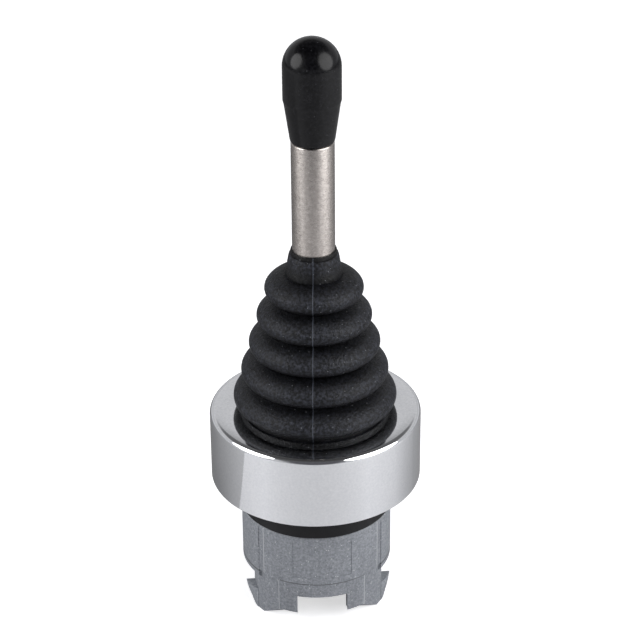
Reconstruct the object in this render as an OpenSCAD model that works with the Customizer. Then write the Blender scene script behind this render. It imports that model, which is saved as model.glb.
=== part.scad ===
// Spring-return joystick head for a 22 mm panel hole, in millimetres.
// The origin is under the middle of the feet, +Z runs up the lever, and the front faces -Y.
// Heights named _z are measured from the plane that the feet stand on.

/* [Body casting] */
// Diameter of the collar that passes through the panel
collar_d = 21.9; // [21.5:0.1:22.2]
// Height of the collar's upper end, under the gasket
collar_top_z = 14.2; // [13.8:0.1:14.6]
// Height of the sharp step under the front and rear panels of the collar
panel_step_z = 6.4; // [6.0:0.1:6.8]
// Diameter of the skirt below the collar
skirt_d = 19.2; // [19.0:0.1:19.4]
// Height where the side sectors of the collar begin to taper in
side_taper_z = 5.2; // [4.8:0.1:5.6]
// Height where the side sectors meet the skirt
side_foot_z = 3.2; // [2.9:0.1:3.4]
// Half angle of each side sector, seen from above
side_half_angle = 34; // [32:1:36]
// Half angle of the front and rear panels
panel_half_angle = 50.5; // [49:0.5:52]
// Depth of the upright grooves between panels and side sectors
groove_depth = 0.3; // [0.2:0.05:0.4]
// Depth of the bare label field on the front panel
label_depth = 0.15; // [0.1:0.05:0.25]
// Width of the locating notch in the front of the skirt
notch_w = 7.2; // [6.6:0.2:7.6]
// Height of the notch's roof
notch_top_z = 3.0; // [2.6:0.1:3.2]
// Height of the flat top of the four bayonet lugs
lug_top_z = 2.4; // [2.2:0.1:2.6]
// Outer diameter of the cup that holds the gimbal
cup_d = 26.5; // [26.3:0.1:26.5]
// Height of the cup's rim
cup_rim_z = 27.3; // [27.2:0.1:27.3]

/* [Bezel and gasket] */
// Diameter of the chromed bezel
bezel_d = 30.4; // [30:0.1:31]
// Height of the bezel's lower face
bezel_z = 19.2; // [19.2:0.05:19.3]
// Height of the bezel's polished top
bezel_top_z = 29.9; // [29.8:0.1:30.1]
// Diameter of the hole that the bellows comes out of
bezel_hole_d = 20.6; // [20.5:0.1:20.9]
// Radius of the rounded upper rim
bezel_round = 0.8; // [0.6:0.1:1]
// How far the gasket's face stands below the bezel
gasket_proud = 0.5; // [0.3:0.1:0.6]
// Outer diameter of the gasket's sealing flange
gasket_flange_d = 26.4; // [26:0.1:26.5]

/* [Bellows] */
// Number of convolutions
lobe_count = 5; // [5:1:5]
// Outer radius of the top convolution
lobe_r_top = 6.98; // [6.9:0.02:7.1]
// Outer radius of the bottom convolution
lobe_r_bottom = 11.68; // [11.5:0.02:11.8]
// Height of the top convolution
lobe_z_top = 49.48; // [49.3:0.02:49.6]
// Height of the bottom convolution
lobe_z_bottom = 32.33; // [32.2:0.01:32.4]
// Radius of each convolution's round crest
lobe_round = 2.0; // [1.9:0.05:2.05]
// Thickness of the rubber wall
bellows_wall = 0.9; // [0.8:0.05:1]
// Height of the lip that grips the rod
lip_top_z = 55.2; // [55:0.1:55.4]

/* [Lever and knob] */
// Diameter of the steel rod
rod_d = 6.0; // [5.8:0.05:6]
// Height where the rod meets the knob
knob_z = 71.4; // [71:0.1:72]
// Height of the knob's top
knob_top_z = 86.2; // [86:0.1:87]
// Largest diameter of the knob
knob_d = 8.0; // [7.8:0.1:8.2]
// Diameter of the knob's lower end
knob_foot_d = 6.1; // [6.05:0.05:6.3]
// Height where the knob's taper ends
knob_taper_z = 77.5; // [77:0.1:78]

/* [Gimbal] */
// Height of the two crossed tilt axes
pivot_z = 23.8; // [23.7:0.05:23.9]
// Outer diameter of the gimbal ring
ring_d = 21.4; // [21:0.1:21.5]
// Radial thickness of the gimbal ring
ring_wall = 1.6; // [1.5:0.1:1.6]
// Height of the gimbal ring
ring_h = 2.0; // [2:0.05:2.1]
// Diameter of the rocker disc inside the ring
disc_d = 17.2; // [17:0.1:17.3]
// Thickness of the rocker disc
disc_h = 2.4; // [2.3:0.05:2.4]

/* [Plungers and gate] */
// Distance of each plunger from the centre line
plunger_r = 6.3; // [6.2:0.05:6.4]
// Diameter of a plunger's domed head
head_d = 3.2; // [3:0.1:3.2]
// Diameter of a plunger's stem
stem_d = 2.0; // [1.9:0.05:2]
// Play between the rocker disc and a plunger at rest
plunger_play = 0.25; // [0.22:0.01:0.3]
// Wire diameter of a plunger spring
wire_d = 0.4; // [0.35:0.05:0.4]
// Free turns of a plunger spring, without its two closed ends
spring_turns = 5; // [4:1:6]
// Half width of the square gate that stops the lever's tail
gate_half = 3.95; // [3.95:0.01:4]
// Thickness of the gate plate
gate_h = 0.8; // [0.6:0.1:0.8]

/* [Hidden] */
$fn = 96;

over = 0.5;
collar_r = collar_d / 2;
skirt_r = skirt_d / 2;
cup_r = cup_d / 2;
cup_bore_r = 12.0;
cup_floor_z = 20.2;
cup_floor_h = 0.7;
neck_r = 9.9;
upper_bore_r = 8.2;
lower_bore_r = 8.6;
edge_break = 0.3;
side_gap_angle = 90 - panel_half_angle - side_half_angle;
lower_panel_half_angle = 41;
lower_panel_step = 0.12;
label_half_angle = 25;
label_top_z = 13.3;
label_bottom_z = 7.2;
lug_start_angle = 12;
lug_angle = 21.5;
lug_foot_r = 9.9;
foot_arch_angle = 36;
foot_arch_r = 5;
foot_arch_h = 0.4;
key_w = 2.0;
keyway_r = 9.0;
slot_play = 0.1;

bezel_r = bezel_d / 2;
bezel_bore_r = cup_r + 0.05;
bezel_ceiling_z = 28.4;
bezel_foot_break = 0.25;
bezel_play = 0.1;
flange_top_z = cup_rim_z + 0.8;
// Radius of the bellows' neck, and how far below the lip, down to the first convolution
NECK = [[3.2, 0], [3.45, 0.6], [3.75, 2.2], [4.2, 3.8]];
neck_meets_lobe = 105;
lobe_sweep = 80;
valley_dip = 0.25;
lip_grip_h = 3.2;
inner_neck_r = 3.4;
bellows_foot_r = bezel_hole_d / 2 - bezel_play;
gasket_z = bezel_z - gasket_proud;
gasket_top_z = cup_floor_z - cup_floor_h;
gasket_sleeve_r = collar_r + 0.05;
gasket_bore_r = neck_r + 0.05;

rod_r = rod_d / 2;
lip_bore_r = rod_r + 0.03;
rod_chamfer = 0.2;
knob_foot_round = 0.35;
knob_ridge = 0.14;
spigot_r = 2.0;
spigot_top_z = 81.2;
screw_r = 1.5;
tail_r = 1.25;
tail_z = 11.6;
shoulder_z = pivot_z + 1.8;
disc_bottom_z = pivot_z - disc_h / 2;
washer_h = 0.4;
washer_r = 3.0;
nut_h = 2.4;
nut_flats = 5.5;
insert_r = 2.6;
insert_z = 72.4;
insert_top_z = 79.4;

ring_r = ring_d / 2;
ring_bore_r = ring_r - ring_wall;
disc_r = disc_d / 2;
trunnion_r = 0.6;
rocker_pin_r = 0.5;
running_play = 0.05;
fixed_play = 0.01;

gate_top_z = 13.1;
gate_r = 8.5;
guide_top_z = gate_top_z - gate_h;
guide_z = 6.2;
guide_opening_half = 4.2;
clip_h = 0.8;
clip_groove_r = 8.95;
stem_z = 5.6;
head_z = 18.95;
head_top_z = disc_bottom_z - plunger_play;
spring_r = 1.4;

ZINC = [0.60, 0.61, 0.62];
CHROME = [0.86, 0.87, 0.89];
RUBBER = [0.07, 0.075, 0.085];
STEEL = [0.66, 0.64, 0.61];
BLACK_PLASTIC = [0.03, 0.03, 0.03];
BRASS = [0.78, 0.62, 0.32];
WHITE_PLASTIC = [0.85, 0.85, 0.82];

// Points along an arc about (cx, cz), from one angle to another
function arc(cx, cz, r, from, to, steps) =
    [for (i = [0:steps]) let (a = from + (to - from) * i / steps) [cx + r * cos(a), cz + r * sin(a)]];

function lobe_r(i) = lobe_r_top + (lobe_r_bottom - lobe_r_top) * i / (lobe_count - 1);
function lobe_z(i) = lobe_z_top + (lobe_z_bottom - lobe_z_top) * i / (lobe_count - 1);

// A sector of a revolved profile, centred on an angle seen from above
module sector(middle, half) {
    rotate([0, 0, middle - half]) rotate_extrude(angle = 2 * half) children();
}

// A cylinder along a level line through the pivot height
module cross_pin(angle, from, to, r) {
    rotate([0, 0, angle]) translate([from, 0, pivot_z]) rotate([0, 90, 0]) cylinder(r = r, h = to - from);
}

module body_shell() {
    rotate_extrude() polygon([
        [lower_bore_r, 0], [skirt_r, 0], [skirt_r, side_foot_z],
        [collar_r, side_taper_z], [collar_r, collar_top_z - edge_break],
        [collar_r - edge_break, collar_top_z], [neck_r, collar_top_z],
        [neck_r, gasket_top_z], [cup_r, gasket_top_z], [cup_r, cup_rim_z],
        [cup_bore_r, cup_rim_z], [cup_bore_r, cup_floor_z], [upper_bore_r, cup_floor_z],
        [upper_bore_r, gate_top_z], [lower_bore_r, gate_top_z]
    ]);
}

module bayonet_lug(middle) {
    sector(middle, lug_angle / 2) polygon([
        [lower_bore_r + over, 0], [lug_foot_r, 0], [collar_r - 0.15, lug_top_z - 0.5],
        [collar_r, lug_top_z], [lower_bore_r + over, lug_top_z]
    ]);
}

module body_cuts() {
    for (front = [-90, 90]) {
        sector(front, 90 - side_half_angle)
            translate([skirt_r, side_foot_z]) square([2, panel_step_z - side_foot_z]);
        sector(front, lower_panel_half_angle)
            translate([skirt_r - lower_panel_step, -over]) square([1, panel_step_z + over]);
        for (turn = [-1, 1])
            sector(front + turn * (panel_half_angle + side_gap_angle / 2), side_gap_angle / 2)
                translate([collar_r - groove_depth, side_foot_z]) square([1, collar_top_z - side_foot_z - over]);
    }
    sector(-90, label_half_angle)
        translate([collar_r - label_depth, label_bottom_z]) square([1, label_top_z - label_bottom_z]);
    translate([-notch_w / 2, -collar_r - over, -over]) cube([notch_w, collar_r, notch_top_z + over]);
    for (front = [-90, 90], turn = [-1, 1])
        rotate([0, 0, front + turn * foot_arch_angle])
            translate([lower_bore_r - over, 0, foot_arch_h - foot_arch_r])
                rotate([0, 90, 0]) cylinder(r = foot_arch_r, h = 1.2 + over);
    translate([-key_w / 2 - slot_play, 0, -over]) cube([key_w + 2 * slot_play, keyway_r, gate_top_z + over]);
    translate([0, 0, guide_z - clip_h]) cylinder(r = clip_groove_r, h = clip_h);
    for (side = [0, 180]) cross_pin(side, cup_bore_r - over, cup_r + over, trunnion_r + fixed_play);
}

module body_casting() {
    color(ZINC) difference() {
        union() {
            body_shell();
            for (side = [0, 180], turn = [-1, 1]) bayonet_lug(side + turn * (lug_start_angle + lug_angle / 2));
        }
        body_cuts();
    }
}

module bezel() {
    color(CHROME) rotate_extrude() polygon(concat(
        [[bezel_bore_r, bezel_z], [bezel_r - bezel_foot_break, bezel_z], [bezel_r, bezel_z + bezel_foot_break]],
        arc(bezel_r - bezel_round, bezel_top_z - bezel_round, bezel_round, 0, 90, 6),
        arc(bezel_hole_d / 2 + edge_break, bezel_top_z - edge_break, edge_break, 90, 180, 3),
        [[bezel_hole_d / 2, bezel_ceiling_z], [bezel_bore_r, bezel_ceiling_z]]
    ));
}

module panel_gasket() {
    color(RUBBER) rotate_extrude() polygon([
        [gasket_bore_r, collar_top_z], [gasket_sleeve_r, collar_top_z], [gasket_sleeve_r, gasket_z],
        [gasket_flange_d / 2, gasket_z], [gasket_flange_d / 2, gasket_top_z], [gasket_bore_r, gasket_top_z]
    ]);
}

// Outer and inner outlines of the bellows, both from the top down
function valley_r(i) = (lobe_r(i) + lobe_r(i + 1)) / 2 - lobe_round - valley_dip;
function valley_z(i) = (lobe_z(i) + lobe_z(i + 1)) / 2;
function outer_lobes() = [for (i = [0:lobe_count - 1]) each concat(
    arc(lobe_r(i) - lobe_round, lobe_z(i), lobe_round, i == 0 ? neck_meets_lobe : lobe_sweep, -lobe_sweep, 8),
    i < lobe_count - 1 ? [[valley_r(i), valley_z(i)]] : [])];
function inner_lobes() = [for (i = [0:lobe_count - 1]) each concat(
    arc(lobe_r(i) - lobe_round, lobe_z(i), lobe_round - bellows_wall, lobe_sweep, -lobe_sweep, 6),
    i < lobe_count - 1 ? [for (side = [bellows_wall, -bellows_wall])
        [valley_r(i) - bellows_wall, valley_z(i) + side / 2]] : [])];
function reversed(list) = [for (i = [len(list) - 1:-1:0]) list[i]];

module bellows() {
    flange_r = cup_r - bezel_play;
    color(RUBBER) rotate_extrude() polygon(concat(
        [[lip_bore_r, lip_top_z]],
        [for (p = NECK) [p[0], lip_top_z - p[1]]],
        outer_lobes(),
        [[bellows_foot_r, bezel_top_z], [bellows_foot_r, flange_top_z], [flange_r, flange_top_z], [flange_r, cup_rim_z]],
        [[bellows_foot_r - bellows_wall, cup_rim_z], [bellows_foot_r - bellows_wall, bezel_top_z]],
        reversed(inner_lobes()),
        [[inner_neck_r, lip_top_z - lip_grip_h - bellows_wall], [lip_bore_r, lip_top_z - lip_grip_h]]
    ));
}

module clamp_washer() {
    color(STEEL) translate([0, 0, flange_top_z]) difference() {
        cylinder(r = cup_r - bezel_play, h = bezel_ceiling_z - flange_top_z);
        translate([0, 0, -over]) cylinder(r = bezel_hole_d / 2, h = bezel_ceiling_z - flange_top_z + 2 * over);
    }
}

module gimbal_ring() {
    color(STEEL) difference() {
        union() {
            translate([0, 0, pivot_z - ring_h / 2]) cylinder(r = ring_r, h = ring_h);
            for (side = [0, 180]) cross_pin(side, ring_bore_r + over, cup_bore_r - 0.4, ring_h / 2);
        }
        difference() {
            translate([0, 0, pivot_z - ring_h]) cylinder(r = ring_bore_r, h = 2 * ring_h);
            for (side = [90, 270]) cross_pin(side, disc_r + 0.2, ring_r, ring_h / 2);
        }
        for (side = [0, 180]) cross_pin(side, ring_bore_r - over, cup_bore_r, trunnion_r + running_play);
        for (side = [90, 270]) cross_pin(side, disc_r, ring_r + over, rocker_pin_r + fixed_play);
    }
}

module trunnion_pins() {
    color(STEEL) for (side = [0, 180]) cross_pin(side, ring_bore_r + 0.2, cup_r - 0.05, trunnion_r);
}

module rocker_pins() {
    color(STEEL) for (side = [90, 270]) cross_pin(side, disc_r - 1.8, ring_r - 0.05, rocker_pin_r);
}

module rocker_disc() {
    color(STEEL) difference() {
        union() {
            translate([0, 0, disc_bottom_z]) cylinder(r = disc_r, h = disc_h);
            translate([0, 0, pivot_z]) cylinder(r1 = rod_r + 2, r2 = rod_r + 1, h = shoulder_z - pivot_z);
        }
        translate([0, 0, disc_bottom_z - over]) cylinder(r = screw_r + fixed_play, h = disc_h + 2);
        for (side = [90, 270]) cross_pin(side, disc_r - 2, disc_r + over, rocker_pin_r + running_play);
    }
}

module lever_rod() {
    color(STEEL) rotate_extrude() polygon(concat(
        [[0, tail_z]],
        arc(tail_r - 0.5, tail_z + 0.5, 0.5, -90, 0, 3),
        [[tail_r, disc_bottom_z - washer_h - nut_h - 0.4], [screw_r, disc_bottom_z - washer_h - nut_h - 0.2]],
        [[screw_r, shoulder_z], [rod_r, shoulder_z], [rod_r, knob_z - rod_chamfer], [rod_r - rod_chamfer, knob_z]],
        [[spigot_r, knob_z], [spigot_r, spigot_top_z - 0.4], [spigot_r - 0.4, spigot_top_z], [0, spigot_top_z]]
    ));
}

module lever_washer() {
    color(STEEL) translate([0, 0, disc_bottom_z - washer_h]) difference() {
        cylinder(r = washer_r, h = washer_h);
        translate([0, 0, -over]) cylinder(r = screw_r + fixed_play, h = washer_h + 2 * over);
    }
}

module lever_nut() {
    color(STEEL) translate([0, 0, disc_bottom_z - washer_h - nut_h]) difference() {
        cylinder(d = nut_flats / cos(30), h = nut_h, $fn = 6);
        translate([0, 0, -over]) cylinder(r = screw_r + fixed_play, h = nut_h + 2 * over);
    }
}

module knob() {
    knob_r = knob_d / 2;
    foot_r = knob_foot_d / 2;
    color(BLACK_PLASTIC) difference() {
        rotate_extrude() polygon(concat(
            [[0, knob_z]],
            arc(foot_r - knob_foot_round, knob_z + knob_foot_round, knob_foot_round, -90, 0, 4),
            [[knob_r - knob_ridge, knob_taper_z - 0.5], [knob_r, knob_taper_z]],
            arc(0, knob_top_z - knob_r, knob_r, 0, 90, 12)
        ));
        translate([0, 0, knob_z - over]) cylinder(r = spigot_r + fixed_play, h = spigot_top_z - knob_z + over + 0.2);
        translate([0, 0, insert_z]) cylinder(r = insert_r + fixed_play, h = insert_top_z - insert_z);
    }
}

module knob_insert() {
    color(BRASS) translate([0, 0, insert_z]) difference() {
        cylinder(r = insert_r, h = insert_top_z - insert_z);
        for (waist = [0.32, 0.64]) translate([0, 0, waist * (insert_top_z - insert_z)])
            rotate_extrude() translate([insert_r - 0.2, 0]) square([1, 0.6]);
        translate([0, 0, -over]) cylinder(r = spigot_r + fixed_play, h = insert_top_z - insert_z + 2 * over);
    }
}

// One plunger and one spring, placed by the angle of their side of the head
module plunger(angle) {
    color(WHITE_PLASTIC) rotate([0, 0, angle]) translate([plunger_r, 0, 0]) rotate_extrude() polygon(concat(
        [[0, stem_z], [stem_d / 2 - edge_break, stem_z], [stem_d / 2, stem_z + edge_break]],
        [[stem_d / 2, head_z], [head_d / 2, head_z]],
        arc(0, head_top_z - head_d / 2, head_d / 2, 0, 90, 8)
    ));
}

// The wire's centre line, with a closed turn at each end of the open turns
function spring_point(turn) = let (
    low = gate_top_z + wire_d / 2 + 0.02, high = head_z - wire_d / 2 - 0.02,
    open = (high - low - 2 * wire_d) / spring_turns,
    rise = turn < 1 ? turn * wire_d
        : turn < spring_turns + 1 ? wire_d + (turn - 1) * open
        : wire_d + spring_turns * open + (turn - spring_turns - 1) * wire_d
) [spring_r * cos(360 * turn), spring_r * sin(360 * turn), low + rise];

module spring(angle) {
    sides = 8;
    per_turn = 12;
    rings = (spring_turns + 2) * per_turn;
    points = [for (k = [0:rings], s = [0:sides - 1]) let (
        middle = spring_point(k / per_turn), out = wire_d / 2 * cos(360 * s / sides)
    ) [middle[0] * (1 + out / spring_r), middle[1] * (1 + out / spring_r), middle[2] + wire_d / 2 * sin(360 * s / sides)]];
    skin = [for (k = [0:rings - 1], s = [0:sides - 1]) let (next = (s + 1) % sides)
        [k * sides + s, k * sides + next, (k + 1) * sides + next, (k + 1) * sides + s]];
    start_cap = [for (s = [sides - 1:-1:0]) s];
    end_cap = [for (s = [0:sides - 1]) rings * sides + s];
    color(STEEL) rotate([0, 0, angle]) translate([plunger_r, 0, 0])
        polyhedron(points, concat(skin, [start_cap, end_cap]), convexity = 8);
}

module plunger_right() { plunger(0); }
module plunger_left() { plunger(180); }
module plunger_front() { plunger(270); }
module plunger_rear() { plunger(90); }
module spring_right() { spring(0); }
module spring_left() { spring(180); }
module spring_front() { spring(270); }
module spring_rear() { spring(90); }

// Outline shared by the gate plate and the guide: a disc with a key at the rear
module keyed_disc(opening_half, stem_hole_r) {
    difference() {
        union() {
            circle(r = gate_r);
            translate([-key_w / 2, 0]) square([key_w, keyway_r - slot_play]);
        }
        square(2 * opening_half, center = true);
        for (side = [0:90:270]) rotate(side) translate([plunger_r, 0]) circle(r = stem_hole_r);
    }
}

module gate_plate() {
    color(STEEL) translate([0, 0, guide_top_z]) linear_extrude(gate_h) keyed_disc(gate_half, stem_d / 2 + 0.1);
}

module plunger_guide() {
    color(BLACK_PLASTIC) translate([0, 0, guide_z])
        linear_extrude(guide_top_z - guide_z) keyed_disc(guide_opening_half, stem_d / 2 + running_play);
}

module retaining_ring() {
    ear_r = 0.9;
    gap_half_angle = 14;
    color(STEEL) translate([0, 0, guide_z - clip_h]) difference() {
        union() {
            sector(45 + 180, 180 - gap_half_angle) translate([7.7, 0]) square([clip_groove_r - 0.05 - 7.7, clip_h]);
            for (turn = [-1, 1]) rotate([0, 0, 45 + turn * gap_half_angle])
                translate([7.5, turn * ear_r, 0]) cylinder(r = ear_r, h = clip_h);
        }
        for (turn = [-1, 1]) rotate([0, 0, 45 + turn * gap_half_angle])
            translate([7.5, turn * ear_r, -over]) cylinder(r = 0.4, h = clip_h + 2 * over);
    }
}

body_casting();
bezel();
panel_gasket();
bellows();
clamp_washer();
gimbal_ring();
trunnion_pins();
rocker_pins();
rocker_disc();
lever_rod();
lever_washer();
lever_nut();
knob();
knob_insert();
plunger_right();
plunger_left();
plunger_front();
plunger_rear();
spring_right();
spring_left();
spring_front();
spring_rear();
gate_plate();
plunger_guide();
retaining_ring();
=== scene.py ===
import math

import bmesh
import bpy
from mathutils import Matrix, Vector


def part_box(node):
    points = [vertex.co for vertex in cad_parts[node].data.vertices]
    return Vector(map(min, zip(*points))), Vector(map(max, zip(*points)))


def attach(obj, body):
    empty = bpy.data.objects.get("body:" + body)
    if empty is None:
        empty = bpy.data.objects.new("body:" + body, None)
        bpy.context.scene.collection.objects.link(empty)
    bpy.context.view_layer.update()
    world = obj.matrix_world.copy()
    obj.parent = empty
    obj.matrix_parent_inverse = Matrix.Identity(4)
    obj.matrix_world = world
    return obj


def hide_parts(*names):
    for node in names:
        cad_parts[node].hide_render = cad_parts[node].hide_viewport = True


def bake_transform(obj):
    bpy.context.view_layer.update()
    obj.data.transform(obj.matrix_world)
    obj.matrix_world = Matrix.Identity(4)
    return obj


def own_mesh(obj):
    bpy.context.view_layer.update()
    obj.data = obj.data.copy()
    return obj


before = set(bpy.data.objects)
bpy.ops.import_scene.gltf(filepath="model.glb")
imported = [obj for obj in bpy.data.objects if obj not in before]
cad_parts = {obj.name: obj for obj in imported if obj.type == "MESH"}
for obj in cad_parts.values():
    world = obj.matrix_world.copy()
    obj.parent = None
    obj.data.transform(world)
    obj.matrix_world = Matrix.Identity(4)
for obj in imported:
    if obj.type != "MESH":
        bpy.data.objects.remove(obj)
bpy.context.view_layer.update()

# The studio
# A white sweep that the head stands on, two grey boards over it to the left and right, seen only
# in reflections, and two round softboxes at the height that gives the knob its pair of
# highlights. None of it is the object.
MM = 0.001
camera_azimuth = math.radians(-94.4)
camera_down = math.radians(28.545)
camera_away = 272.29 * MM
camera_height = 191.97 * MM
camera_pan = math.radians(-0.167)
camera_roll = math.radians(-0.5)
photo_width_px = 640
focal_px = 2200
sensor_width = 36.0

# The table's height: the foot of the casting made below, which reaches a little under the solid's
feet_z = -1.2 * MM

camera_data = bpy.data.cameras.new("photo_camera")
camera_data.sensor_width = sensor_width
camera_data.lens = sensor_width * focal_px / photo_width_px
camera_data.clip_start = 10 * MM
camera = bpy.data.objects.new("photo_camera", camera_data)
bpy.context.scene.collection.objects.link(camera)
camera_place = Vector((
    camera_away * math.cos(camera_azimuth), camera_away * math.sin(camera_azimuth), camera_height,
))
heading = camera_azimuth + math.pi / 2 + camera_pan
camera.matrix_world = (
    Matrix.Translation(camera_place)
    @ Matrix.Rotation(heading, 4, "Z")
    @ Matrix.Rotation(math.pi / 2 - camera_down, 4, "X")
    @ Matrix.Rotation(camera_roll, 4, "Z")
)
bpy.context.scene.camera = camera
bpy.context.scene.view_settings.view_transform = "Standard"


def toward(azimuth_from_camera, elevation, distance):
    """A point seen from the head, by its angle to the right of the camera and above the table."""
    angle = camera_azimuth + math.radians(azimuth_from_camera)
    lift = math.radians(elevation)
    level = math.cos(lift)
    return Vector((math.cos(angle) * level, math.sin(angle) * level, math.sin(lift))) * distance


lamp_aim = Vector((0, 0, 45 * MM))


def softbox(name, azimuth, elevation, distance, width, watts):
    """A round area lamp that faces the middle of the head."""
    data = bpy.data.lights.new(name, "AREA")
    data.shape = "DISK"
    data.size = width
    data.energy = watts
    lamp = bpy.data.objects.new(name, data)
    bpy.context.scene.collection.objects.link(lamp)
    place = lamp_aim + toward(azimuth, elevation, distance)
    turn = (place - lamp_aim).to_track_quat("Z", "Y").to_matrix().to_4x4()
    lamp.matrix_world = Matrix.Translation(place) @ turn


softbox("softbox_left", azimuth=-73, elevation=28, distance=0.42, width=0.36, watts=1.15)
softbox("softbox_right", azimuth=65, elevation=29, distance=0.42, width=0.46, watts=1.8)


def add(tree, kind, **sockets):
    """A node of a tree, with its input sockets set by name; spaces are written as underscores."""
    node = tree.nodes.new("ShaderNode" + kind)
    for name, value in sockets.items():
        node.inputs[name.replace("_", " ")].default_value = value
    return node


# The room: pale at table height, dark overhead and dark where the camera stands; a camera that
# looks past the sweep sees plain white
bluish = 1.02
ground_grey = (0.62, 0.63, 0.65, 1)
ceiling_grey = (0.05, 0.05, 0.05, 1)
wall_greys = ((0.40, 0.50), (0.46, 0.62), (0.52, 0.58), (0.62, 0.16))
camera_dark = (0.10, 0.10, 0.11, 1)
camera_lift = 28.5
dark_from = 0.80
dark_full = 0.93

world = bpy.data.worlds.new("studio")
bpy.context.scene.world = world
world.use_nodes = True
sky = world.node_tree
sky.nodes.clear()
sky_out = add(sky, "OutputWorld")
sky_white = add(sky, "Background", Color=(1, 1, 1, 1), Strength=1.0)
sky_room = add(sky, "Background", Strength=1.0)
sky_dark = add(sky, "Background", Color=camera_dark, Strength=1.0)
sky_path = add(sky, "LightPath")
sky_pick = add(sky, "MixShader")
sky_place = add(sky, "TexCoord")
sky_split = add(sky, "SeparateXYZ")
sky_ramp = add(sky, "ValToRGB")
sky_ramp.color_ramp.elements[0].color = ground_grey
sky_ramp.color_ramp.elements[1].color = ceiling_grey
for height, grey in wall_greys:
    stop = sky_ramp.color_ramp.elements.new(height)
    stop.color = (grey, grey, grey * bluish, 1)
sky_along = add(sky, "VectorMath")
sky_along.operation = "DOT_PRODUCT"
sky_along.inputs[1].default_value = toward(0, camera_lift, 1)
sky_near = add(sky, "MapRange", From_Min=dark_from, From_Max=dark_full)
sky_front = add(sky, "MixShader")
sky.links.new(sky_place.outputs["Generated"], sky_split.inputs[0])
sky.links.new(sky_split.outputs["Z"], sky_ramp.inputs["Fac"])
sky.links.new(sky_ramp.outputs["Color"], sky_room.inputs["Color"])
sky.links.new(sky_place.outputs["Generated"], sky_along.inputs[0])
sky.links.new(sky_along.outputs["Value"], sky_near.inputs["Value"])
sky.links.new(sky_near.outputs["Result"], sky_front.inputs["Fac"])
sky.links.new(sky_room.outputs[0], sky_front.inputs[1])
sky.links.new(sky_dark.outputs[0], sky_front.inputs[2])
sky.links.new(sky_path.outputs["Is Camera Ray"], sky_pick.inputs["Fac"])
sky.links.new(sky_front.outputs[0], sky_pick.inputs[1])
sky.links.new(sky_white.outputs[0], sky_pick.inputs[2])
sky.links.new(sky_pick.outputs[0], sky_out.inputs["Surface"])


def new_object(name, bm):
    """An object of the scene, made from a mesh under construction."""
    mesh = bpy.data.meshes.new(name)
    bm.to_mesh(mesh)
    bm.free()
    thing = bpy.data.objects.new(name, mesh)
    bpy.context.scene.collection.objects.link(thing)
    return thing


def by_direction(tree, *stops):
    """A grey that follows the direction from the head; 1 is toward the camera and -1 away from it."""
    place = add(tree, "TexCoord")
    unit = add(tree, "VectorMath")
    unit.operation = "NORMALIZE"
    along = add(tree, "VectorMath")
    along.operation = "DOT_PRODUCT"
    along.inputs[1].default_value = toward(0, 0, 1)
    spread = add(tree, "MapRange", From_Min=-1.0, From_Max=1.0)
    ramp = add(tree, "ValToRGB")
    points = ramp.color_ramp.elements
    while len(points) < len(stops):
        points.new(0.5)
    for i, (cosine, grey) in enumerate(sorted(stops)):
        points[i].position = (cosine + 1) / 2
        points[i].color = (grey, grey, grey * bluish, 1)
    tree.links.new(place.outputs["Object"], unit.inputs[0])
    tree.links.new(unit.outputs[0], along.inputs[0])
    tree.links.new(along.outputs["Value"], spread.inputs["Value"])
    tree.links.new(spread.outputs["Result"], ramp.inputs["Fac"])
    return ramp.outputs["Color"]


# The sweep is white to the camera; all else sees it as a bluish grey, darker straight in front
# and to the rear
sweep_greys = ((1.0, 0.68), (0.64, 0.85), (0.1, 0.80), (-0.29, 0.62), (-0.5, 0.5))
sweep_mat = bpy.data.materials.new("white_sweep")
sweep_mat.use_nodes = True
sweep = sweep_mat.node_tree
sweep.nodes.clear()
sweep_out = add(sweep, "OutputMaterial")
sweep_cloth = add(sweep, "BsdfDiffuse")
sweep_path = add(sweep, "LightPath")
sweep_colour = add(sweep, "Mix")
sweep_colour.data_type = "RGBA"
sweep_colour.inputs[7].default_value = (0.86, 0.86, 0.877, 1)
sweep_glow = add(sweep, "Emission", Color=(1, 1, 1, 1), Strength=0.6)
sweep_none = add(sweep, "Emission", Strength=0.0)
sweep_pick = add(sweep, "MixShader")
sweep_sum = add(sweep, "AddShader")
sweep.links.new(sweep_path.outputs["Is Camera Ray"], sweep_colour.inputs[0])
sweep.links.new(by_direction(sweep, *sweep_greys), sweep_colour.inputs[6])
sweep.links.new(sweep_colour.outputs[2], sweep_cloth.inputs["Color"])
sweep.links.new(sweep_path.outputs["Is Camera Ray"], sweep_pick.inputs["Fac"])
sweep.links.new(sweep_none.outputs[0], sweep_pick.inputs[1])
sweep.links.new(sweep_glow.outputs[0], sweep_pick.inputs[2])
sweep.links.new(sweep_cloth.outputs[0], sweep_sum.inputs[0])
sweep.links.new(sweep_pick.outputs[0], sweep_sum.inputs[1])
sweep.links.new(sweep_sum.outputs[0], sweep_out.inputs["Surface"])

table_r = 1.2
table_place = Matrix.Translation((0, 0, feet_z))
bm = bmesh.new()
bmesh.ops.create_circle(bm, cap_ends=True, segments=64, radius=table_r, matrix=table_place)
floor = new_object("white_table", bm)
floor.data.materials.append(sweep_mat)

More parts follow.
